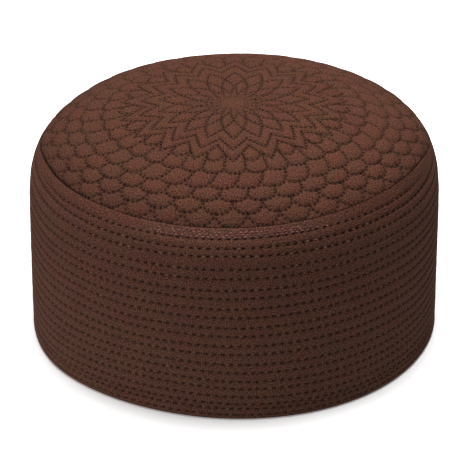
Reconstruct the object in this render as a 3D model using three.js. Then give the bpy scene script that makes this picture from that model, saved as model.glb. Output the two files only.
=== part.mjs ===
// A kufi: a round brimless cap with an upright band stitched in level rows and a quilted, gently
// domed crown. Millimetres, +Z up, the rim on the plane z = 0 and the cap's axis on Z.
import * as THREE from 'three'

// Driving sizes of the band
const rimRadius = 93.2        // outside of the band at the rim, for a head of 57 to 58 cm
const bandHeight = 91.8       // from the rim up to the seam with the crown
const bandThickness = 2.2     // layered cloth, stitched flat
const shoulderPower = 11.5    // how late the band curves in to the seam: higher is squarer
const ribDepth = 0.6          // how far each row of stitches pulls the cloth in
const hemRound = 0.7          // the folded bottom edge

// Driving sizes of the crown
const seamRadius = 84.6       // where the crown meets the band
const domeRise = 17.2         // the crown's middle above the seam
const domePower = 2.9         // how flat the crown's middle is: higher is flatter
const crownThickness = 2.5    // two layers of cloth over a thin wadding
const puffHeight = 1.1        // how far a quilted cell swells above its stitch lines
const fullCell = 7            // a cell this long between two stitch lines swells fully
const petalCount = 18         // leaves round the middle
const scalesPerPetal = 2      // fish scales in each ring for one leaf
const bossRadius = 9          // the round boss in the middle

// How the two pieces meet, and how finely they are cut into facets
const seamGap = 0.4           // between the crown's edge and the band's edge
const stitchGap = 0.7         // the least distance between two stitch lines that meet
const bandSides = 48
const facetsPerScale = 4

// Rows of stitches round the band, as shares of its height: three in the hem, then the wall
const hemRows = [0.028, 0.054, 0.081]
const wallRows = [
  0.119, 0.164, 0.206, 0.251, 0.300, 0.355, 0.401, 0.455, 0.502,
  0.553, 0.601, 0.657, 0.703, 0.763, 0.809, 0.870, 0.913, 0.955,
]

// Stitch lines inside the scales, as shares of the seam radius: at a leaf's axis and between leaves
const chevrons = [
  { name: 'lower chevron', atAxis: 0.488, between: 0.390 },
  { name: 'upper chevron', atAxis: 0.584, between: 0.457 },
]
const leafTip = 0.390         // a leaf's point, as a share of the seam radius
const leafFall = 0.180        // how much nearer the middle its edge is after one leaf's turn

// Rings of scales, as shares of the seam radius: the top of each arch, the foot of its sides, and
// how far the ring is turned, in scales
const scaleRings = [
  { top: 0.591, foot: 0.545, turned: 0 },
  { top: 0.674, foot: 0.620, turned: 0 },
  { top: 0.777, foot: 0.674, turned: 0.5 },
  { top: 0.859, foot: 0.777, turned: 0 },
  { top: 0.934, foot: 0.859, turned: 0.5 },
  { top: 0.986, foot: 0.934, turned: 0 },
]
const archPower = 2.4         // 2 is an ellipse, higher has straighter sides

// The band's smooth outer curve, and its outward normal in the (radius, height) plane
function bandPoint(height) {
  const climb = height / bandHeight
  const reach = rimRadius - seamRadius
  const radius = seamRadius + reach * (1 - climb ** shoulderPower)
  const slope = (shoulderPower * reach * climb ** (shoulderPower - 1)) / bandHeight
  return { at: new THREE.Vector2(radius, height), normal: new THREE.Vector2(1, slope).normalize() }
}

// The crown's smooth outer curve and how steeply it falls at that radius
function domeHeight(radius) {
  return bandHeight + domeRise * (1 - (radius / seamRadius) ** domePower)
}

function domeSlope(radius) {
  return (domePower * domeRise * (radius / seamRadius) ** (domePower - 1)) / seamRadius
}

// Both edges at the seam lie along one line, halfway between the two pieces' normals
const crownNormal = new THREE.Vector2(domeSlope(seamRadius), 1).normalize()
const seamLine = bandPoint(bandHeight).normal.clone().add(crownNormal).normalize().negate()
const acrossSeam = new THREE.Vector2(-seamLine.y, seamLine.x)
const seamTop = new THREE.Vector2(seamRadius, bandHeight)

function seamFoot(thickness) {
  return seamTop.clone().addScaledVector(seamLine, thickness)
}

// Revolved band: up the ribbed outside, over the seam's edge and down the plain inside
function bandProfile() {
  const rows = [...hemRows, ...wallRows].map((share) => share * bandHeight)
  const outside = [
    new THREE.Vector2(rimRadius - hemRound, 0),
    new THREE.Vector2(rimRadius, hemRound),
  ]
  rows.forEach((height, index) => {
    const groove = bandPoint(height)
    outside.push(groove.at.addScaledVector(groove.normal, -ribDepth))
    const next = rows[index + 1] ?? bandHeight
    if (index < rows.length - 1) {
      outside.push(bandPoint((height + next) / 2).at)
    }
  })
  outside.push(seamTop.clone().addScaledVector(acrossSeam, seamGap))
  const inside = [seamFoot(bandThickness).addScaledVector(acrossSeam, seamGap)]
  for (const share of [0.93, 0.84, 0.7, 0.45, 0.2]) {
    const skin = bandPoint(share * bandHeight)
    inside.push(skin.at.addScaledVector(skin.normal, -bandThickness))
  }
  inside.push(new THREE.Vector2(rimRadius - bandThickness, 0))
  return [...outside, ...inside, outside[0].clone()]
}

// Signed place in a repeating pattern: -1 at one end of a repeat, 0 in its middle, 1 at the other
function placeInRepeat(turn, count, turned) {
  const repeats = turn * count - turned
  return 2 * (repeats - Math.round(repeats))
}

// Radii of the stitch lines met on the way out from the middle, at a share of a whole turn
function stitchLines(turn) {
  const fromAxis = Math.abs(placeInRepeat(turn, petalCount, 0))
  const lines = [
    bossRadius,
    seamRadius * (leafTip - leafFall * (1 - fromAxis / 2)),
    seamRadius * (leafTip - (leafFall * fromAxis) / 2),
  ]
  for (const chevron of chevrons) {
    const share = chevron.atAxis + (chevron.between - chevron.atAxis) * fromAxis
    lines.push(seamRadius * share)
  }
  for (const ring of scaleRings) {
    const place = Math.abs(placeInRepeat(turn, petalCount * scalesPerPetal, ring.turned))
    const arch = Math.max(0, 1 - place ** archPower) ** (1 / archPower)
    lines.push(seamRadius * (ring.foot + (ring.top - ring.foot) * arch))
  }
  for (let index = 1; index < lines.length; index += 1) {
    lines[index] = Math.max(lines[index], lines[index - 1] + stitchGap)
  }
  return lines
}

// One spoke of the crown's outside: low on each stitch line and swollen halfway to the next
function crownSpoke(turn) {
  const angle = turn * 2 * Math.PI - Math.PI / 2
  const place = (radius, lift) =>
    new THREE.Vector3(radius * Math.cos(angle), radius * Math.sin(angle), domeHeight(radius) + lift)
  const lines = stitchLines(turn)
  const spoke = []
  lines.forEach((radius, index) => {
    spoke.push(place(radius, -puffHeight / 2))
    const next = lines[index + 1]
    if (next !== undefined) {
      const room = THREE.MathUtils.clamp((next - radius - stitchGap) / fullCell, 0, 1)
      spoke.push(place((radius + next) / 2, puffHeight * (Math.sqrt(room) - 1 / 2)))
    }
  })
  spoke.push(place(seamRadius, 0))
  return spoke
}

// The crown's plain underside has one spoke for each scale
function undersideSpoke(turn) {
  const angle = turn * 2 * Math.PI - Math.PI / 2
  const edge = seamFoot(crownThickness)
  const spoke = [new THREE.Vector3(edge.x * Math.cos(angle), edge.x * Math.sin(angle), edge.y)]
  for (const share of [0.8, 0.5]) {
    const radius = share * seamRadius
    const drop = crownThickness * Math.hypot(1, domeSlope(radius))
    spoke.push(
      new THREE.Vector3(radius * Math.cos(angle), radius * Math.sin(angle), domeHeight(radius) - drop)
    )
  }
  return spoke
}

function crownGeometry() {
  const scales = petalCount * scalesPerPetal
  const spokes = scales * facetsPerScale
  const triangles = []
  const face = (a, b, c) => triangles.push(a, b, c)
  // Four corners in order, cut along the shorter diagonal
  const quad = (a, b, c, d) => {
    if (a.distanceTo(c) < b.distanceTo(d)) {
      face(a, b, c)
      face(a, c, d)
    } else {
      face(b, c, d)
      face(b, d, a)
    }
  }
  const top = Array.from({ length: spokes }, (_, index) => crownSpoke(index / spokes))
  const under = Array.from({ length: scales }, (_, index) => undersideSpoke(index / scales))
  const summit = new THREE.Vector3(0, 0, domeHeight(0) + puffHeight / 2)
  const hollow = new THREE.Vector3(0, 0, domeHeight(0) - crownThickness)

  top.forEach((spoke, index) => {
    const next = top[(index + 1) % spokes]
    face(summit, spoke[0], next[0])
    for (let step = 1; step < spoke.length; step += 1) {
      quad(spoke[step - 1], spoke[step], next[step], next[step - 1])
    }
  })
  under.forEach((spoke, index) => {
    const next = under[(index + 1) % scales]
    for (let step = 1; step < spoke.length; step += 1) {
      quad(spoke[step - 1], spoke[step], next[step], next[step - 1])
    }
    face(hollow, next.at(-1), spoke.at(-1))
    // The edge: this stretch of the outside has several facets for one of the underside
    const edge = Array.from({ length: facetsPerScale + 1 }, (_, step) =>
      top[(index * facetsPerScale + step) % spokes].at(-1)
    )
    const middle = Math.floor(facetsPerScale / 2)
    for (let step = 0; step < facetsPerScale; step += 1) {
      face(edge[step + 1], edge[step], step < middle ? spoke[0] : next[0])
    }
    face(edge[middle], spoke[0], next[0])
  })
  return new THREE.BufferGeometry().setFromPoints(triangles)
}

// Each piece is cloth of the same brown, the band a little darker
function crownPiece() {
  const cloth = new THREE.MeshStandardMaterial({ color: 0x5f4238, roughness: 0.95, metalness: 0 })
  const crown = new THREE.Mesh(crownGeometry(), cloth)
  crown.name = 'crown'
  return crown
}

function bandPiece() {
  const cloth = new THREE.MeshStandardMaterial({ color: 0x54392f, roughness: 0.95, metalness: 0 })
  const geometry = new THREE.LatheGeometry(bandProfile(), bandSides)
  geometry.rotateX(Math.PI / 2)
  const band = new THREE.Mesh(geometry, cloth)
  band.name = 'band'
  return band
}

const kufi = new THREE.Group()
kufi.add(bandPiece(), crownPiece())

export default kufi
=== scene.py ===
import math

import bpy
import numpy as np
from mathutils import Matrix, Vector, kdtree


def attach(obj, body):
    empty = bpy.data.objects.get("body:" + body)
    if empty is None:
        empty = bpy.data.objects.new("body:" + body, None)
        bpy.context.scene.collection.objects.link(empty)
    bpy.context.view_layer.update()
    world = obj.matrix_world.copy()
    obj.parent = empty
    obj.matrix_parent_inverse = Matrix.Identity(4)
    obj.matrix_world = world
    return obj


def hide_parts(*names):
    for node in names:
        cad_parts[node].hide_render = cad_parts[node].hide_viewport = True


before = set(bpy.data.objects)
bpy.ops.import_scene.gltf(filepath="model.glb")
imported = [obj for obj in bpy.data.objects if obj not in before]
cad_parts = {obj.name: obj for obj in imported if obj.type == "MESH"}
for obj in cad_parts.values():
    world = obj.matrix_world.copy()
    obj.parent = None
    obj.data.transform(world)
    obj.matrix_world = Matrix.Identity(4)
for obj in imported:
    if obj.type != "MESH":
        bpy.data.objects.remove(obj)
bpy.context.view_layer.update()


# Crown
# The cap's round top: two layers of brown cloth over thin wadding, quilted together with matching
# thread. Leaves run out from a plain boss to chevrons, then six rings of fish scales reach the seam.
# Every length in this script is in millimetres until cloth_mesh turns it into metres.
seam_radius = 84.6
seam_height = 91.8
dome_rise = 17.2
dome_power = 2.9
crown_thickness = 2.5
rim_radius = 93.2
shoulder_power = 11.5
# How far over the shoulder the crown reaches, by direction in degrees from the front
seam_dips = [
    (-180, 6.0), (-95, 5.6), (-88, 4.6), (-81, 3.0), (-75, 2.1), (-63, 1.3), (-45, 0.4), (0, 0.4),
    (25, 0.1), (39, 0.0), (51, 0.1), (59, 0.5), (67, 1.1), (76, 2.1), (83, 3.9), (89, 5.8), (180, 6.0),
]
# How much wider than round the crown's middle rings are stretched, from side to side
side_stretch = 3.2
boss_radius = 6.2
petals = 18
scales = 36
front_turn = -0.5
leaf_tip = 33.0
leaf_inner = 8.0
leaf_reach = 30.0
lower_chevron = (41.3, 33.0)
upper_chevron = (49.4, 38.7)
diamond_top = 49.6
diamond_corner = 44.4
# Rings of scales from the inside out: top of the arch, where two arches join, foot of the straight
# side between them, how far the first scale is turned, how far the side leans, and how square and
# how upright the arch's shoulders are
scale_rings = [
    (57.2, 54.2, 45.5, 1.0, 0.0, 2.2, 0.5),
    (65.9, 62.9, 57.4, -4.0, 1.9, 2.3, 0.5),
    (72.4, 69.2, 65.9, 0.4, 0.5, 2.3, 0.55),
    (78.7, 73.6, 72.4, -4.8, 0.0, 2.6, 0.7),
    (84.4, 78.4, 78.2, -0.3, 0.0, 2.6, 0.7),
]
crown_pitch = 2.25
crown_rings = 168
under_rings = 34
puff = 0.95
line_depth = 0.45
hole_depth = 0.95
hole_reach = 0.55
crease_depth = 1.0
full_puff = 3.6
under_inset = 2.0
# The mesh's own points are moved onto a needle hole or a quilting line that lies this near
near_a_hole = 0.5
near_a_line = 0.24
yarn_waves = 0.27
yarn_share = 0.03
# How much higher the cap stands for each millimetre to the right, in the band and in the crown's back
band_lean = 0.006
crown_lean = 0.010
# Where the cap isn't quite round: direction, height, how far round and up it reaches, how far out
bulges = [
    (68, 95, 22, 30, 1.3), (118, 95, 14, 30, 0.6), (150, 90, 18, 30, -1.1),
    (-55, 0, 28, 30, 0.9), (-150, 15, 16, 30, 1.2), (-112, 0, 20, 30, -0.6),
    (90, 92, 70, 22, 0.7),
]


def dome_height(radius):
    return seam_height + dome_rise * (1 - (np.minimum(radius, seam_radius) / seam_radius) ** dome_power)


def band_radius(height):
    climb = np.clip(height / seam_height, 0, 1)
    return seam_radius + (rim_radius - seam_radius) * (1 - climb ** shoulder_power)


crown_radii = np.linspace(0, seam_radius, 1000)
shoulder_heights = np.linspace(seam_height, 70, 1000)[1:]
profile_radius = np.concatenate([crown_radii, band_radius(shoulder_heights)])
profile_height = np.concatenate([dome_height(crown_radii), shoulder_heights])
profile_along = np.concatenate([[0], np.cumsum(np.hypot(np.diff(profile_radius), np.diff(profile_height)))])
profile_out = -np.gradient(profile_height, profile_along)
profile_up = np.gradient(profile_radius, profile_along)
seam_along = profile_along[len(crown_radii) - 1]


def degrees_round(azimuth):
    """Direction from the cap's axis: 0 in front, positive towards the right."""
    return (np.degrees(azimuth) + 90 + 180) % 360 - 180


def seam_dip(azimuth):
    """How far along the cap's surface the seam lies below its height in front."""
    towards, dips = zip(*seam_dips)
    return np.interp(degrees_round(azimuth), towards, dips)


def on_cap(along, azimuth, lift):
    """Points and outward normals at a distance along the cap's profile from the crown's middle."""
    out = np.interp(along, profile_along, profile_out)
    up = np.interp(along, profile_along, profile_up)
    radius = np.interp(along, profile_along, profile_radius) + lift * out
    height = np.interp(along, profile_along, profile_height) + lift * up
    x = np.cos(azimuth)
    y = np.sin(azimuth)
    return np.stack([radius * x, radius * y, height], -1), np.stack([out * x, out * y, up], -1)


def on_crown(flat, lift):
    """The crown's flat pattern laid over the dome, and drawn down over the shoulder at the sides."""
    radius = np.hypot(*flat.T)
    azimuth = np.arctan2(flat[:, 1], flat[:, 0])
    along = np.interp(radius, crown_radii, profile_along[: len(crown_radii)])
    share = radius / seam_radius
    wider = side_stretch * np.cos(azimuth) ** 2 * share**2 * (1 - share**6)
    return on_cap(along + wider + seam_dip(azimuth) * share**3, azimuth, lift)


def soft_shape(points):
    """The slight lean and bulges of a cap that stands by itself and isn't quite round."""
    out = np.hypot(points[:, 0], points[:, 1])
    direction = np.degrees(np.arctan2(points[:, 1], points[:, 0]))
    push = np.zeros(len(points))
    for towards, height, round_reach, up_reach, size in bulges:
        turned = (direction - towards + 180) % 360 - 180
        push += size * np.exp(-((turned / round_reach) ** 2) - ((points[:, 2] - height) / up_reach) ** 2)
    push *= (out / seam_radius) ** 2
    grown = 1 + push / np.maximum(out, 1)
    shaped = points * np.column_stack([grown, grown, np.ones(len(points))])
    lean = band_lean * np.clip(points[:, 2] / 50, 0, 1)
    lean += crown_lean * np.clip((points[:, 2] - 82) / 10, 0, 1) * np.clip((30 - points[:, 1]) / 60, 0, 1)
    shaped[:, 2] += lean * points[:, 0]
    return shaped


def from_polar(radius, degrees):
    angle = np.radians(degrees)
    return np.stack([radius * np.cos(angle), radius * np.sin(angle)], -1)


def evenly(line, spacing):
    steps = np.hypot(*np.diff(line, axis=0).T)
    along = np.concatenate([[0], np.cumsum(steps)])
    count = max(2, int(round(along[-1] / spacing)) + 1)
    at = np.linspace(0, along[-1], count)
    return np.stack([np.interp(at, along, line[:, 0]), np.interp(at, along, line[:, 1])], -1)


def quilting_lines():
    lines = [from_polar(np.full(120, boss_radius), np.linspace(0, 360, 120))]
    for petal in range(petals):
        axis = 270 + front_turn + petal * 360 / petals
        half = 180 / petals
        for side in (-1, 1):
            share = np.linspace(0, 1, 40)
            radius = leaf_tip + (leaf_inner - leaf_tip) * share
            lines.append(from_polar(radius, axis + side * leaf_reach * share))
            for apex, valley in (lower_chevron, upper_chevron):
                lines.append(from_polar(apex + (valley - apex) * share, axis + side * half * share))
        share = np.linspace(-1, 1, 41)
        rise = np.sqrt(1 - np.abs(share) ** 1.6)
        radius = diamond_corner + (diamond_top - diamond_corner) * rise
        lines.append(from_polar(radius, axis + half + 5 * share))
    for top, join, foot, turned, lean, squareness, upright in scale_rings:
        for scale in range(scales):
            middle = 270 + front_turn + turned + (scale + 0.5) * 360 / scales
            middle -= 180 / scales
            share = np.sin(np.linspace(-math.pi / 2, math.pi / 2, 61))
            arch = (1 - np.abs(share) ** squareness) ** upright
            lines.append(from_polar(join + (top - join) * arch, middle + share * 180 / scales))
            down = np.linspace(0, 1, 12)
            side = middle + 180 / scales
            lines.append(from_polar(join + (foot - join) * down, side + lean * np.sqrt(down)))
    return lines


def ring_disc(rings, radius):
    """A flat disc of even triangles: ring number k has 6k points."""
    points = [np.zeros((1, 2))]
    for ring in range(1, rings + 1):
        turn = np.arange(6 * ring) * 360 / (6 * ring)
        points.append(from_polar(np.full(6 * ring, radius * ring / rings), turn))
    faces = []
    start = 0
    for ring in range(rings):
        inner = max(1, 6 * ring)
        outer = 6 * (ring + 1)
        outer_start = start + inner
        sector = np.repeat(np.arange(6), ring + 1)
        step = np.tile(np.arange(ring + 1), 6)
        a = start + (sector * ring + step) % inner
        b = outer_start + (sector * (ring + 1) + step) % outer
        c = outer_start + (sector * (ring + 1) + step + 1) % outer
        faces.append(np.stack([a, b, c], -1))
        if ring:
            sector = np.repeat(np.arange(6), ring)
            step = np.tile(np.arange(ring), 6)
            a = start + (sector * ring + step) % inner
            b = outer_start + (sector * (ring + 1) + step + 1) % outer
            c = start + (sector * ring + step + 1) % inner
            faces.append(np.stack([a, b, c], -1))
        start = outer_start
    return np.concatenate(points), np.concatenate(faces)


def cloth_mesh(name, points, faces, weave, dye_and_painted_light):
    """A smooth object from points in millimetres, with its weave directions and the strength of its colour,
    which also carries painted light and shade.
    """
    mesh = bpy.data.meshes.new(name)
    mesh.from_pydata((soft_shape(points) * 0.001).tolist(), [], [list(face) for face in faces])
    mesh.shade_smooth()
    corners = np.zeros(len(mesh.loops), np.int32)
    mesh.loops.foreach_get("vertex_index", corners)
    layer = mesh.uv_layers.new(name="weave")
    layer.data.foreach_set("uv", weave[corners].astype(np.float32).ravel())
    if dye_and_painted_light.ndim == 1:
        dye_and_painted_light = np.column_stack([dye_and_painted_light, dye_and_painted_light, dye_and_painted_light])
    dye_and_painted_light = np.column_stack([dye_and_painted_light, np.ones(len(dye_and_painted_light))]).astype(np.float32)
    strength = mesh.attributes.new("dye_and_painted_light", "FLOAT_COLOR", "POINT")
    strength.data.foreach_set("color", dye_and_painted_light.ravel())
    mesh.validate()
    made = bpy.data.objects.new(name, mesh)
    bpy.context.scene.collection.objects.link(made)
    return made


def dyed_colour_with_painted_light(material, colour, tone):
    """The cloth's or thread's colour, times its tone here and its colour's strength, which also carries
    painted light and shade.
    """
    nodes = material.node_tree.nodes
    links = material.node_tree.links
    strength = nodes.new("ShaderNodeAttribute")
    strength.attribute_name = "dye_and_painted_light"
    coloured = nodes.new("ShaderNodeVectorMath")
    coloured.operation = "MULTIPLY"
    coloured.inputs[0].default_value = colour
    links.new(strength.outputs["Color"], coloured.inputs[1])
    toned = nodes.new("ShaderNodeVectorMath")
    toned.operation = "MULTIPLY"
    links.new(coloured.outputs["Vector"], toned.inputs[0])
    links.new(tone, toned.inputs[1])
    links.new(toned.outputs["Vector"], nodes["Principled BSDF"].inputs["Base Color"])


def brown_cloth(name, colour, fuzz_size, fuzz_range):
    """Matt brown cloth: a fine crossed weave, soft fuzz and slight patches."""
    material = bpy.data.materials.new(name)
    material.use_nodes = True
    nodes = material.node_tree.nodes
    links = material.node_tree.links
    shader = nodes["Principled BSDF"]
    shader.inputs["Roughness"].default_value = 0.95
    shader.inputs["Specular IOR Level"].default_value = 0.1

    threads = nodes.new("ShaderNodeUVMap")
    threads.uv_map = "weave"
    fuzz = nodes.new("ShaderNodeTexNoise")
    fuzz.inputs["Scale"].default_value = 1 / fuzz_size
    fuzz.inputs["Detail"].default_value = 0
    fuzz.inputs["Roughness"].default_value = 0.85
    links.new(threads.outputs["UV"], fuzz.inputs["Vector"])
    surface = fuzz.outputs["Fac"]
    for direction in ("X", "Y"):
        yarns = nodes.new("ShaderNodeTexWave")
        yarns.wave_type = "BANDS"
        yarns.bands_direction = direction
        yarns.inputs["Scale"].default_value = yarn_waves
        yarns.inputs["Distortion"].default_value = 2.0
        yarns.inputs["Detail"].default_value = 1
        links.new(threads.outputs["UV"], yarns.inputs["Vector"])
        crossed = nodes.new("ShaderNodeMath")
        crossed.operation = "MULTIPLY_ADD"
        crossed.inputs[1].default_value = yarn_share
        links.new(yarns.outputs["Fac"], crossed.inputs[0])
        links.new(surface, crossed.inputs[2])
        surface = crossed.outputs["Value"]
    grain = nodes.new("ShaderNodeMapRange")
    grain.inputs["From Min"].default_value = 0.5 + yarn_share - fuzz_range
    grain.inputs["From Max"].default_value = 0.5 + yarn_share + fuzz_range
    grain.inputs["To Min"].default_value = 0.38
    grain.inputs["To Max"].default_value = 1.62
    links.new(surface, grain.inputs["Value"])

    patches = nodes.new("ShaderNodeTexNoise")
    patches.inputs["Scale"].default_value = 0.09
    patches.inputs["Detail"].default_value = 2
    links.new(threads.outputs["UV"], patches.inputs["Vector"])
    uneven = nodes.new("ShaderNodeVectorMath")
    uneven.operation = "MULTIPLY_ADD"
    uneven.inputs[1].default_value = (0.3, 0.3, 0.3)
    uneven.inputs[2].default_value = (0.85, 0.85, 0.85)
    links.new(patches.outputs["Color"], uneven.inputs[0])
    both = nodes.new("ShaderNodeVectorMath")
    both.operation = "SCALE"
    links.new(uneven.outputs["Vector"], both.inputs[0])
    links.new(grain.outputs["Result"], both.inputs["Scale"])
    dyed_colour_with_painted_light(material, colour, both.outputs["Vector"])

    bump = nodes.new("ShaderNodeBump")
    bump.inputs["Strength"].default_value = 1
    bump.inputs["Distance"].default_value = 0.0003
    links.new(surface, bump.inputs["Height"])
    links.new(bump.outputs["Normal"], shader.inputs["Normal"])
    return material


def tree_of(points):
    tree = kdtree.KDTree(len(points))
    for index, point in enumerate(points):
        tree.insert((point[0], point[1], 0), index)
    tree.balance()
    return tree


def degrees_from_front(points):
    return degrees_round(np.arctan2(points[:, 1], points[:, 0]))


def quilting_fullness(flat):
    """How far the quilting swells: less in the middle, and drawn flat at the edge beside and behind."""
    radius = np.hypot(*flat.T)
    fullness = np.interp(radius, [6, 20, 46, 76, 84], [0.6, 0.8, 1.0, 1.0, 0.7])
    outer = np.interp(radius, [60, 74], [0, 1])
    return fullness * (1 - 0.6 * outer * np.interp(np.abs(degrees_from_front(flat)), [70, 115], [0, 1]))


lines = quilting_lines()
line_samples = np.concatenate([evenly(line, 0.12) for line in lines])
needle_holes = np.concatenate([evenly(line, crown_pitch) for line in lines])
near_line = tree_of(line_samples)

top_points, top_faces = ring_disc(crown_rings, seam_radius)
inside_edge = len(top_points) - 6 * crown_rings
near_point = tree_of(top_points[:inside_edge])
is_hole = np.zeros(len(top_points), bool)
for hole in needle_holes:
    _, index, away = near_point.find((hole[0], hole[1], 0))
    if away < near_a_hole:
        top_points[index] = hole
        is_hole[index] = True
from_line = np.zeros(len(top_points))
inside_arch = np.zeros(len(top_points))
for index in range(len(top_points)):
    x, y = top_points[index]
    nearest, _, away = near_line.find((x, y, 0))
    inside_arch[index] = np.clip((nearest.length - math.hypot(x, y)) / max(away, 0.3), 0, 1)
    if away < near_a_line and index < inside_edge and not is_hole[index]:
        top_points[index] = nearest[:2]
        away = 0
    from_line[index] = away
radius = np.hypot(*top_points.T)
from_line = np.minimum(from_line, seam_radius - radius)
near_hole = tree_of(needle_holes)
from_hole = np.array([near_hole.find((x, y, 0))[2] for x, y in top_points])
domed = np.sin(np.minimum(from_line / full_puff, 1) * math.pi / 2)
swell = 0.35 * (1 - np.exp(-from_line / 0.6)) + 0.65 * domed
fullness = quilting_fullness(top_points)
relief = (-line_depth + puff * swell) * fullness
at_hole = np.exp(-((from_hole / hole_reach) ** 2))
at_hole[inside_edge:] = 0
relief -= (hole_depth - line_depth) * at_hole * fullness
# The crease at the seam is deepest on the left and hardly shows in front and on the right
toward = degrees_from_front(top_points)
crease_shares = [
    (-180, 0.6), (-100, 0.8), (-60, 0.8), (-38, 0.4), (0, 0.3), (60, 0.05), (100, 0.3), (180, 0.6),
]
creased = np.interp(toward, *zip(*crease_shares))
under_scale = 0.5 + 0.5 * np.cos(np.radians((toward + 0.8) * scales))
creased *= 1 - (1 - under_scale) * np.interp(np.abs(toward), [38, 60], [1, 0])
relief -= crease_depth * creased * np.exp(-(((seam_radius - radius) / 0.9) ** 2))
# Painted shade darkens the needle holes and the quilting lines
clear = 1 - 0.97 * at_hole * np.interp(radius, [6, 9, 14, 40], [0.4, 0.6, 0.9, 1.0])
clear = 1 - (1 - clear) * np.interp(np.abs(toward), [60, 120], [1.0, 0.75])
line_dark = np.interp(radius, [7, 12, 40, 60], [0.1, 0.5, 0.4, 0.12])
clear *= 1 - line_dark * np.exp(-((from_line / 0.35) ** 2)) * fullness
# Each scale has painted shade inside its outer edge, where the puff turns down
turned_down = np.interp(radius, [30, 60, 76, 80], [0.2, 0.75, 0.75, 1.3])
clear *= 1 - 0.25 * inside_arch * np.exp(-from_line / 1.2) * turned_down
# Painted shade along the crease at the seam
clear *= 1 - 0.7 * creased * np.exp(-(((seam_radius - radius) / 0.3) ** 2))
clear *= np.interp(radius, [60, 72, 84], [1.0, 0.95, 0.78])
# Redder on a puff's crown and greener down in its stitched edge
puffed = np.minimum(from_line / 3.0, 1) * np.interp(radius, [8, 14], [0.3, 1])
# Painted light: the crown is painted brighter towards the right and towards the front
clear *= 1 + (0.065 * top_points[:, 0] - 0.04 * top_points[:, 1]) / seam_radius
crown_dye_and_painted_light = np.column_stack([clear * (0.96 + 0.07 * puffed), clear * (1.02 - 0.03 * puffed), clear])
top = on_crown(top_points, relief)[0]

under_points, under_faces = ring_disc(under_rings, seam_radius - under_inset)
under_radius = np.hypot(*under_points.T)
under_points = np.column_stack([under_points, dome_height(under_radius) - crown_thickness])
points = np.concatenate([top, under_points])
faces = top_faces.tolist() + (under_faces[:, ::-1] + len(top)).tolist()
edge_count = 6 * crown_rings
under_count = 6 * under_rings
edge_start = len(top) - edge_count
under_start = len(points) - under_count
for index in range(edge_count):
    after = (index + 1) % edge_count
    below = int(round(index * under_count / edge_count)) % under_count
    below_next = int(round((index + 1) * under_count / edge_count)) % under_count
    faces.append([edge_start + after, edge_start + index, under_start + below])
    if below != below_next:
        faces.append([edge_start + after, under_start + below, under_start + below_next])
crown_dye_and_painted_light = np.concatenate([crown_dye_and_painted_light, np.ones((len(under_points), 3))])
crown = cloth_mesh("crown_cloth", points, faces, points[:, :2], crown_dye_and_painted_light)
crown_finish = brown_cloth("crown_brown", (0.131, 0.0515, 0.0328), 0.62, 0.25)
crown.data.materials.append(crown_finish)
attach(crown, "root")
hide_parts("crown")


# Quilting thread
# The matching brown thread that quilts the crown, in short stitches that dive into the cloth at each
# needle hole. It is a little smoother than the cloth, so each stitch catches some light.
thread_radius = 0.14
tucked_in = 0.24
stitch_shape = [(0.0, 0.35, -0.45), (0.3, 1.0, 0.1), (0.7, 1.0, 0.1), (1.0, 0.35, -0.45)]


def stitch_tubes(name, starts, ends, normals, radius, strength, sides=5):
    """Many short thread tubes that dive in at both ends, each with its own colour strength, which can carry a
    painted glint.
    """
    along = ends - starts
    length = np.linalg.norm(along, axis=1, keepdims=True)
    across = np.cross(along / length, normals)
    turns = np.arange(sides) * 2 * math.pi / sides
    rings = []
    for share, size, lift in stitch_shape:
        middle = starts + along * share + normals * lift * radius * 2
        for turn in turns:
            rings.append(middle + radius * size * (np.cos(turn) * normals + np.sin(turn) * across))
    points = np.stack(rings, 1)
    count = len(stitch_shape)
    quads = []
    for ring in range(count - 1):
        for side in range(sides):
            after = (side + 1) % sides
            here = ring * sides
            there = here + sides
            quads.append([here + side, here + after, there + after, there + side])
    first_end = list(range(sides))[::-1]
    last_end = list(range((count - 1) * sides, count * sides))
    size = count * sides
    faces = []
    for stitch in range(len(starts)):
        shift = stitch * size
        faces += [[corner + shift for corner in quad] for quad in quads]
        faces.append([corner + shift for corner in first_end])
        faces.append([corner + shift for corner in last_end])
    points = points.reshape(-1, 3)
    along_thread = np.tile(np.repeat([share for share, _, _ in stitch_shape], sides), len(starts))
    round_thread = np.tile(np.tile(np.arange(sides) / sides, count), len(starts))
    weave = np.stack([along_thread * 2, round_thread * 2], -1)
    return cloth_mesh(name, points, faces, weave, np.repeat(strength, size, axis=0))


def brown_thread(name, colour):
    """Spun polyester thread, smoother than the cloth and with fine twist marks."""
    material = bpy.data.materials.new(name)
    material.use_nodes = True
    nodes = material.node_tree.nodes
    links = material.node_tree.links
    shader = nodes["Principled BSDF"]
    shader.inputs["Roughness"].default_value = 0.6
    shader.inputs["Specular IOR Level"].default_value = 0.25
    place = nodes.new("ShaderNodeTexCoord")
    twist = nodes.new("ShaderNodeTexNoise")
    twist.inputs["Scale"].default_value = 420
    twist.inputs["Detail"].default_value = 2
    links.new(place.outputs["Object"], twist.inputs["Vector"])
    tone = nodes.new("ShaderNodeMapRange")
    tone.inputs["From Min"].default_value = 0.3
    tone.inputs["From Max"].default_value = 0.7
    tone.inputs["To Min"].default_value = 0.6
    tone.inputs["To Max"].default_value = 1.4
    links.new(twist.outputs["Fac"], tone.inputs["Value"])
    dyed_colour_with_painted_light(material, colour, tone.outputs["Result"])
    return material


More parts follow.
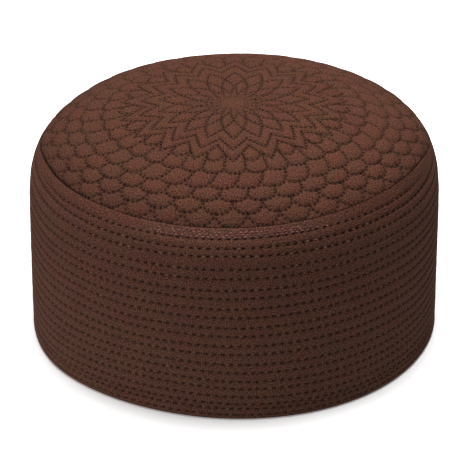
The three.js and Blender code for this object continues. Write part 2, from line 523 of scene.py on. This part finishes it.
starts = []
ends = []
for line in lines:
    holes = evenly(line, crown_pitch)
    starts.append(holes[:-1])
    ends.append(holes[1:])
starts = np.concatenate(starts)
ends = np.concatenate(ends)
tuck = (ends - starts) * tucked_in
starts = starts + tuck
ends = ends - tuck
middles = (starts + ends) / 2
middle_radius = np.hypot(*middles.T)
sunk = -line_depth * quilting_fullness(middles)
dice = np.random.default_rng(11)
quilting_strength = np.clip(dice.normal(1.0, 0.2, len(starts)), 0.6, 1.6)
quilting_strength *= np.interp(middle_radius, [60, 72, 84], [1.0, 0.95, 0.78])
start_points = on_crown(starts, sunk)[0]
end_points = on_crown(ends, sunk)[0]
normals = on_crown(middles, sunk)[1]
quilting = stitch_tubes("crown_quilting", start_points, end_points, normals, thread_radius, quilting_strength)
thread_finish = brown_thread("quilting_thread", (0.115, 0.047, 0.031))
quilting.data.materials.append(thread_finish)
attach(quilting, "root")


# Band
# The upright side of the cap: layers of the same cloth, sewn flat together by level rows of long
# stitches, three of them close together in the folded hem. Its top curves in to the crown's seam.
band_thickness = 2.2
free_height = 84.5
hem_round = 1.5
# Rows of stitches: height in front, stitches in the whole round, and where a needle hole lies, in
# degrees from the front. The three lowest are the hem's.
stitch_rows = [
    (2.6, 160, 0.3), (5.8, 160, -0.5), (8.2, 160, 0.6),
    (11.8, 159, -0.42), (16.0, 160, -0.39), (19.6, 160, -0.5), (24.0, 159, 0.8), (28.2, 159, -0.57),
    (33.2, 158, -0.69), (37.4, 158, -0.73), (42.4, 158, 0.72), (46.6, 158, 0.44), (51.6, 157, -0.83),
    (56.0, 157, 0.51), (61.2, 156, 0.55), (65.2, 156, 0.25), (70.8, 154, -0.64), (75.2, 153, -0.86),
    (81.0, 150, 0.17), (84.2, 150, 0.27), (88.0, 155, 0.76),
]
# How far the rows wander up and down, charted at eleven directions from the front for some heights
wander_directions = [-110, -60, -45, -30, -15, 0, 15, 30, 45, 60, 110]
wander_chart = {
    12: (0, -0.6, 0.0, 0.8, 1.0, 0, -0.8, -0.6, -0.8, -1.0, 0),
    20: (0, 0.0, 0.2, 1.2, 1.2, 0, -0.2, -0.2, -0.6, -0.8, 0),
    28: (0, 0.0, 0.0, 0.8, 0.6, 0, -0.2, -0.2, -0.6, -1.2, 0),
    37: (0, 0.0, 0.2, 0.2, 0.4, 0, 0.2, 0.4, -0.2, -1.4, 0),
    47: (0, 0.0, 0.6, -0.2, 0.4, 0, 0.2, 0.6, 0.2, -1.0, 0),
    61: (0, -1.0, -0.4, -0.2, 0.0, 0, 0.4, 0.8, 0.8, 0.0, 0),
    71: (0, -1.6, -0.8, -0.4, -0.2, 0, 0.0, 0.4, 0.4, -0.4, 0),
    81: (-1, -2.2, -1.8, -1.2, -0.6, 0, -0.4, -0.6, -0.8, -1.4, -1),
    84: (0, -0.6, -0.8, -0.6, -0.4, 0, 0.2, 0.2, 0.2, -0.4, 0),
    88: (0, -1.4, -1.0, -0.4, -0.2, 0, 0.2, 0.2, -0.2, -0.6, 0),
}
columns = 790
row_depth = 0.35
side_row_depth = 1.0
row_width = 0.6
band_hole_depth = 1.1
# The seam's allowance: how far in and how far down from the seam, from its edge to its foot
allowance = [(0.7, 1.1), (3.6, 1.6), (3.6, 2.4)]
inside_heights = [83.0, 60.0, 30.0]

turn = np.arange(columns) * 2 * math.pi / columns
rows = np.array([height for height, _, _ in stitch_rows])
hole_columns = []
for _, stitches, phase in stitch_rows:
    hole_turns = (270 + phase + np.arange(stitches) * 360 / stitches) % 360
    hole_columns.append(np.sort(np.round(hole_turns * columns / 360).astype(int) % columns))


def slow_wave(angle, size):
    """A smooth wander round the cap, different at each call."""
    wander = np.zeros_like(angle)
    for order in (2, 3, 5, 8, 13):
        wander += np.sin(order * angle + dice.uniform(0, 2 * math.pi)) * dice.uniform(0.4, 1) / order ** 0.5
    return wander * size / 2


def charted_wander(height, angle):
    at_height = [np.interp(height, list(wander_chart), column) for column in zip(*wander_chart.values())]
    return np.interp(degrees_round(angle), wander_directions, at_height) * np.clip(height / 12, 0, 1)


wander = np.stack([charted_wander(height, turn) + slow_wave(turn, 0.12) for height in rows])
shoulder_down = profile_along[len(crown_radii) :] - seam_along
free_down = np.interp(seam_height - free_height, seam_height - shoulder_heights, shoulder_down)
top_row = len(rows) - 1
# The top row of stitches shows in front and is lost in the fold at the sides
toward = degrees_round(turn)
from_front = np.abs(toward)
top_row_shows = np.interp(from_front, [58, 78], [1.0, 0.0])
side_on = np.interp(from_front, [35, 80], [0.0, 1.0])
groove = row_depth + (side_row_depth - row_depth) * side_on
# How dark the painted shade in the band's needle holes is, by direction. On the left the rows are drawn in so
# far that their holes run together into lines
hole_dark = np.interp(toward, [-180, -90, -38, 70, 100, 180], [0.9, 0.3, 0.97, 0.97, 0.9, 0.9])
# How deep the seam's crease is and how dark its painted shade, by direction
band_creased = np.interp(toward, [-100, -60, -38, 60, 100], [0.8, 0.8, 0.15, 0.0, 0.5])


def let_down(height, azimuth):
    """Cloth above the free height hangs lower where the seam does."""
    down = np.interp(seam_height - height, seam_height - shoulder_heights, shoulder_down)
    dip = seam_dip(azimuth)
    lower = np.interp(dip + down * (1 - dip / free_down), shoulder_down, shoulder_heights)
    return np.where(height > free_height, lower, height)


levels = []
for index, height in enumerate(rows):
    below = rows[index - 1] if index else 0
    gap_below = height - below
    flank = 0.42 / gap_below
    shares = (flank, 0.33, 0.67, 1 - flank) if gap_below > 3 else (flank, 0.5, 1 - flank)
    for share in shares:
        levels.append((index - 1, index, share))
    levels.append((index, index, 0))

band_points = []
band_clear = []
band_weave = []


def add_level(height, lift, clear):
    """One ring of the band's outside: height, lift off the smooth wall and colour strength for each column,
    with painted shade in it.
    """
    height = let_down(height, turn)
    radius = band_radius(height)
    climb = np.clip(height / seam_height, 0, 1)
    slope = shoulder_power * (rim_radius - seam_radius) * climb ** (shoulder_power - 1) / seam_height
    across = 1 / np.hypot(1, slope)
    out = radius + lift * across
    up = height + lift * across * slope
    band_points.append(np.stack([out * np.cos(turn), out * np.sin(turn), up], -1))
    band_clear.append(clear)
    band_weave.append(np.stack([turn * rim_radius, height], -1))


nothing = np.zeros(columns)
plain = np.ones(columns)
add_level(nothing + 0.0, nothing - hem_round, plain)
add_level(nothing + 0.4, nothing - 0.5, plain)
add_level(nothing + 1.1, nothing - 0.1, plain)
for low, high, share in levels:
    if low == high:
        hole = np.zeros(columns)
        hole[hole_columns[low]] = 1
        shows = top_row_shows if low == top_row else plain
        lift = np.where(hole > 0, -band_hole_depth, -groove) * shows
        # Painted shade in each needle hole and beside it, and along the row's groove, darker at the sides
        beside = 0.7 * (np.roll(hole, 1) + np.roll(hole, -1))
        dark = np.maximum(hole, beside) * hole_dark
        dark = np.maximum(dark, 0.08 + 0.42 * side_on) * shows
        add_level(rows[low] + wander[low], lift, 1 - dark)
        continue
    low_height = rows[low] + wander[low] if low >= 0 else nothing + 1.2
    high_height = rows[high] + wander[high]
    height = low_height + (high_height - low_height) * share
    away = np.minimum(height - low_height if low >= 0 else height * 0 + 9, high_height - height)
    close = high if share > 0.5 else low
    shows = top_row_shows if close == top_row else plain
    lift = -groove * np.exp(-away / row_width) * shows
    # Painted shade from each needle hole spreads onto the levels close beside the row
    near = np.zeros(columns)
    if close >= 0:
        near[hole_columns[close]] = 0.4
        near = np.maximum(near, 0.4 * (np.roll(near, 1) + np.roll(near, -1))) * hole_dark
    add_level(height, lift, 1 - near * (away < 0.7) * shows)
shoulder = [0.12, 0.3, 0.5, 0.68, 0.82, 0.91, 0.96, 1.0]
for share in shoulder:
    height = rows[-1] + wander[-1] + (seam_height - rows[-1] - wander[-1]) * share
    lift = -groove * np.exp(-(height - rows[-1] - wander[-1]) / row_width) * top_row_shows
    # The crease at the seam: a groove, with painted shade in it
    into_seam = np.exp(-(((seam_height - height) / 0.25) ** 2)) * band_creased
    add_level(height, lift - 0.9 * into_seam, 1 - 0.7 * into_seam)
# Over the seam's edge, in under the crown as the seam's allowance and down the plain inside
seam_line = let_down(nothing + seam_height, turn)
inside = [(band_radius(seam_line) - inward, seam_line - down) for inward, down in allowance]
inside += [(band_radius(height) - band_thickness, height) for height in inside_heights]
inside += [
    (rim_radius - band_thickness, 4.0),
    (rim_radius - band_thickness, 0.8),
    (rim_radius - band_thickness + 0.5, 0.0),
]
for radius_in, height in inside:
    band_points.append(np.stack([radius_in * np.cos(turn), radius_in * np.sin(turn), nothing + height], -1))
    band_clear.append(plain)
    band_weave.append(np.stack([turn * rim_radius, nothing + 2 * seam_height - height], -1))
level_count = len(band_points)
column = np.arange(columns)
after = (column + 1) % columns
faces = []
for level in range(level_count):
    here = level * columns
    there = ((level + 1) % level_count) * columns
    faces.append(np.stack([here + column, here + after, there + after, there + column], -1))
faces = np.concatenate(faces)
band_points = np.concatenate(band_points)
band_clear = np.concatenate(band_clear)
# The band is paler towards the hem and a little at the very top. The fold at the top has painted light in
# front and painted shade at the sides, and the right side has painted shade.
paler_and_painted_light = np.interp(band_points[:, 2], [0, 6, 20, 76, 84, 89], [1.4, 1.15, 1.04, 1.0, 1.0, 1.05])
toward = degrees_from_front(band_points)
at_top = np.interp(band_points[:, 2], [82, 86], [0, 1])
in_front = np.exp(-((toward / 28) ** 2))
# Painted light on the fold in front, painted shade on the fold at the sides
paler_and_painted_light *= 1 + at_top * (0.32 * in_front - 0.14)
# Painted shade on the band's right side
paler_and_painted_light *= 1 - 0.08 * np.interp(toward, [0, 60, 100, 160], [0, 1, 1, 0])
redder = (1 - 0.08 * at_top * (1 - in_front)) * np.interp(band_points[:, 2], [0, 30, 50], [1.1, 1.04, 1])
band_dye_and_painted_light = np.column_stack([paler_and_painted_light, (1 + (paler_and_painted_light - 1) * 0.9) * redder, paler_and_painted_light * redder]) * band_clear[:, None]
band = cloth_mesh("band_cloth", band_points, faces, np.concatenate(band_weave), band_dye_and_painted_light)
band_finish = brown_cloth("band_brown", (0.1225, 0.0515, 0.0345), 0.62, 0.25)
band.data.materials.append(band_finish)
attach(band, "root")
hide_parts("band")


# Band stitches
# The long stitches of the band's rows: matching thread that lies in each row's groove and dives into
# the cloth at every needle hole, so a light glint shows between two dark holes. The glints are partly
# painted highlights on the thread, and the holes' dark is painted shade in the band's cloth.
band_thread_radius = 0.2
band_tucked_in = 0.22
starts = []
ends = []
for index, height in enumerate(rows):
    next_columns = np.roll(hole_columns[index], -1)
    for stitch_end, stitch_column in ((starts, hole_columns[index]), (ends, next_columns)):
        angle = turn[stitch_column]
        level_height = let_down(height + wander[index][stitch_column], angle)
        reach = band_radius(level_height) - groove[stitch_column]
        if index == top_row:
            reach = reach - 1.5 * (1 - top_row_shows[stitch_column])
        stitch_end.append(np.stack([reach * np.cos(angle), reach * np.sin(angle), level_height], -1))
starts = np.concatenate(starts)
ends = np.concatenate(ends)
middles = (starts + ends) / 2
normals = middles * (1, 1, 0)
normals /= np.linalg.norm(normals, axis=1, keepdims=True)
inset = (ends - starts) * band_tucked_in
band_tone_and_glint = np.clip(dice.normal(1.0, 0.3, len(starts)), 0.4, 2.2)
# Painted highlights: the thread is painted paler in the upper rows, and the palest stitches get a whiter
# glint
band_tone_and_glint *= np.interp(middles[:, 2], [60, 75, 80, 84], [1.3, 1.5, 2.1, 1.5])
glint = np.clip(band_tone_and_glint - 1.2, 0, 1) * 0.35
band_tone_and_glint = np.column_stack([band_tone_and_glint, band_tone_and_glint * (1 + glint), band_tone_and_glint * (1 + glint)])
band_stitches = stitch_tubes(
    "band_stitches", starts + inset, ends - inset, normals, band_thread_radius, band_tone_and_glint
)
band_stitches.data.materials.append(thread_finish)
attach(band_stitches, "root")


# Seam stitching
# Overlocked thread over the band's folded top edge, just below the crease: several close rows of short
# stitches in a paler, pinker brown. It lies on top of the cloth at the front and sinks in elsewhere.
# Rows of thread: how far below the crease, and how pale, which is partly a painted highlight
seam_rows = [(0.9, 0.85), (2.0, 1.2), (3.1, 1.05), (4.1, 1.3)]
seam_stitches = 240
seam_thread_shows = 42
seam_thread_radius = 0.27
starts = []
ends = []
normals = []
strengths = []
for index, (down, pale_and_glint) in enumerate(seam_rows):
    angle = (np.arange(seam_stitches) + 0.37 * index) * 2 * math.pi / seam_stitches
    angle += dice.normal(0, 0.003, seam_stitches)
    angle = angle[np.abs(degrees_round(angle)) < seam_thread_shows]
    at_front = np.exp(-(((np.degrees(angle) - 270) / 27) ** 4))
    count = len(angle)
    lift = -0.5 + 0.45 * at_front + dice.normal(0, 0.05, count)
    across = seam_along + seam_dip(angle) + down + dice.normal(0, 0.12, count)
    length = 0.75 * 2 * math.pi / seam_stitches
    slant = 0.08 if index % 2 else -0.08
    starts.append(on_cap(across - slant, angle - length / 2, lift)[0])
    ends.append(on_cap(across + slant, angle + length / 2, lift)[0])
    normals.append(on_cap(across, angle, lift)[1])
    strengths.append(np.clip(dice.normal(1.0, 0.25, count), 0.5, 1.6) * pale_and_glint)
seam_thread = stitch_tubes(
    "seam_stitching",
    np.concatenate(starts),
    np.concatenate(ends),
    np.concatenate(normals),
    seam_thread_radius,
    np.concatenate(strengths),
)
seam_thread.data.materials.append(brown_thread("seam_thread", (0.205, 0.084, 0.076)))
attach(seam_thread, "root")


# Camera, floor and light
# The cap stands by itself on a plain white table under a large soft light, and the camera looks down
# on it from the front.
camera_elevation = 29.03
camera_distance = 1400
camera_target = Vector((1.286, 0, 40.133))
lens = bpy.data.cameras.new("camera")
lens.lens = 231.7
lens.sensor_width = 36
lens.clip_end = 20
camera = bpy.data.objects.new("camera", lens)
rise = math.radians(camera_elevation)
back = Vector((0, -math.cos(rise), math.sin(rise)))
camera.location = (camera_target + back * camera_distance) * 0.001
camera.rotation_mode = "QUATERNION"
camera.rotation_quaternion = (-back).to_track_quat("-Z", "Y")
bpy.context.scene.collection.objects.link(camera)
bpy.context.scene.camera = camera

table_top = bpy.data.meshes.new("table_top")
corners = [(-6, -6, 0), (6, -6, 0), (6, 6, 0), (-6, 6, 0)]
table_top.from_pydata(corners, [], [(0, 1, 2, 3)])
floor = bpy.data.objects.new("floor", table_top)
floor.location.z = -0.0001
bpy.context.scene.collection.objects.link(floor)
white = bpy.data.materials.new("white_table")
white.use_nodes = True
white_shader = white.node_tree.nodes["Principled BSDF"]
white_shader.inputs["Base Color"].default_value = (0.78, 0.78, 0.78, 1)
white_shader.inputs["Roughness"].default_value = 0.9
white_shader.inputs["Emission Color"].default_value = (1, 1, 1, 1)
seen = white.node_tree.nodes.new("ShaderNodeLightPath")
lit = white.node_tree.nodes.new("ShaderNodeMath")
lit.operation = "MULTIPLY"
lit.inputs[1].default_value = 0.2
white.node_tree.links.new(seen.outputs["Is Camera Ray"], lit.inputs[0])
white.node_tree.links.new(lit.outputs["Value"], white_shader.inputs["Emission Strength"])
# Overexposed as in a catalogue picture: seen directly, the table is brighter than its own bounce light
exposed = white.node_tree.nodes.new("ShaderNodeMath")
exposed.operation = "MULTIPLY_ADD"
exposed.inputs[1].default_value = 0.94
exposed.inputs[2].default_value = 0.78
white.node_tree.links.new(seen.outputs["Is Camera Ray"], exposed.inputs[0])
white.node_tree.links.new(exposed.outputs["Value"], white_shader.inputs["Base Color"])
floor.data.materials.append(white)


def soft_light(name, place, aim, size, power):
    lamp = bpy.data.lights.new(name, "AREA")
    lamp.shape = "DISK"
    lamp.size = size
    lamp.energy = power
    light = bpy.data.objects.new(name, lamp)
    light.location = place
    light.rotation_mode = "QUATERNION"
    light.rotation_quaternion = (Vector(aim) - Vector(place)).to_track_quat("-Z", "Y")
    bpy.context.scene.collection.objects.link(light)


soft_light("overhead_light", (0.02, 0.2, 1.65), (0, 0, 0.05), 1.0, 25)
soft_light("left_light", (-1.6, -0.7, 0.12), (0, 0, 0.05), 0.8, 10)
world = bpy.data.worlds.new("studio")
world.use_nodes = True
world.node_tree.nodes["Background"].inputs["Color"].default_value = (1, 1, 1, 1)
world.node_tree.nodes["Background"].inputs["Strength"].default_value = 0.125
bpy.context.scene.world = world
bpy.context.scene.view_settings.view_transform = "Standard"
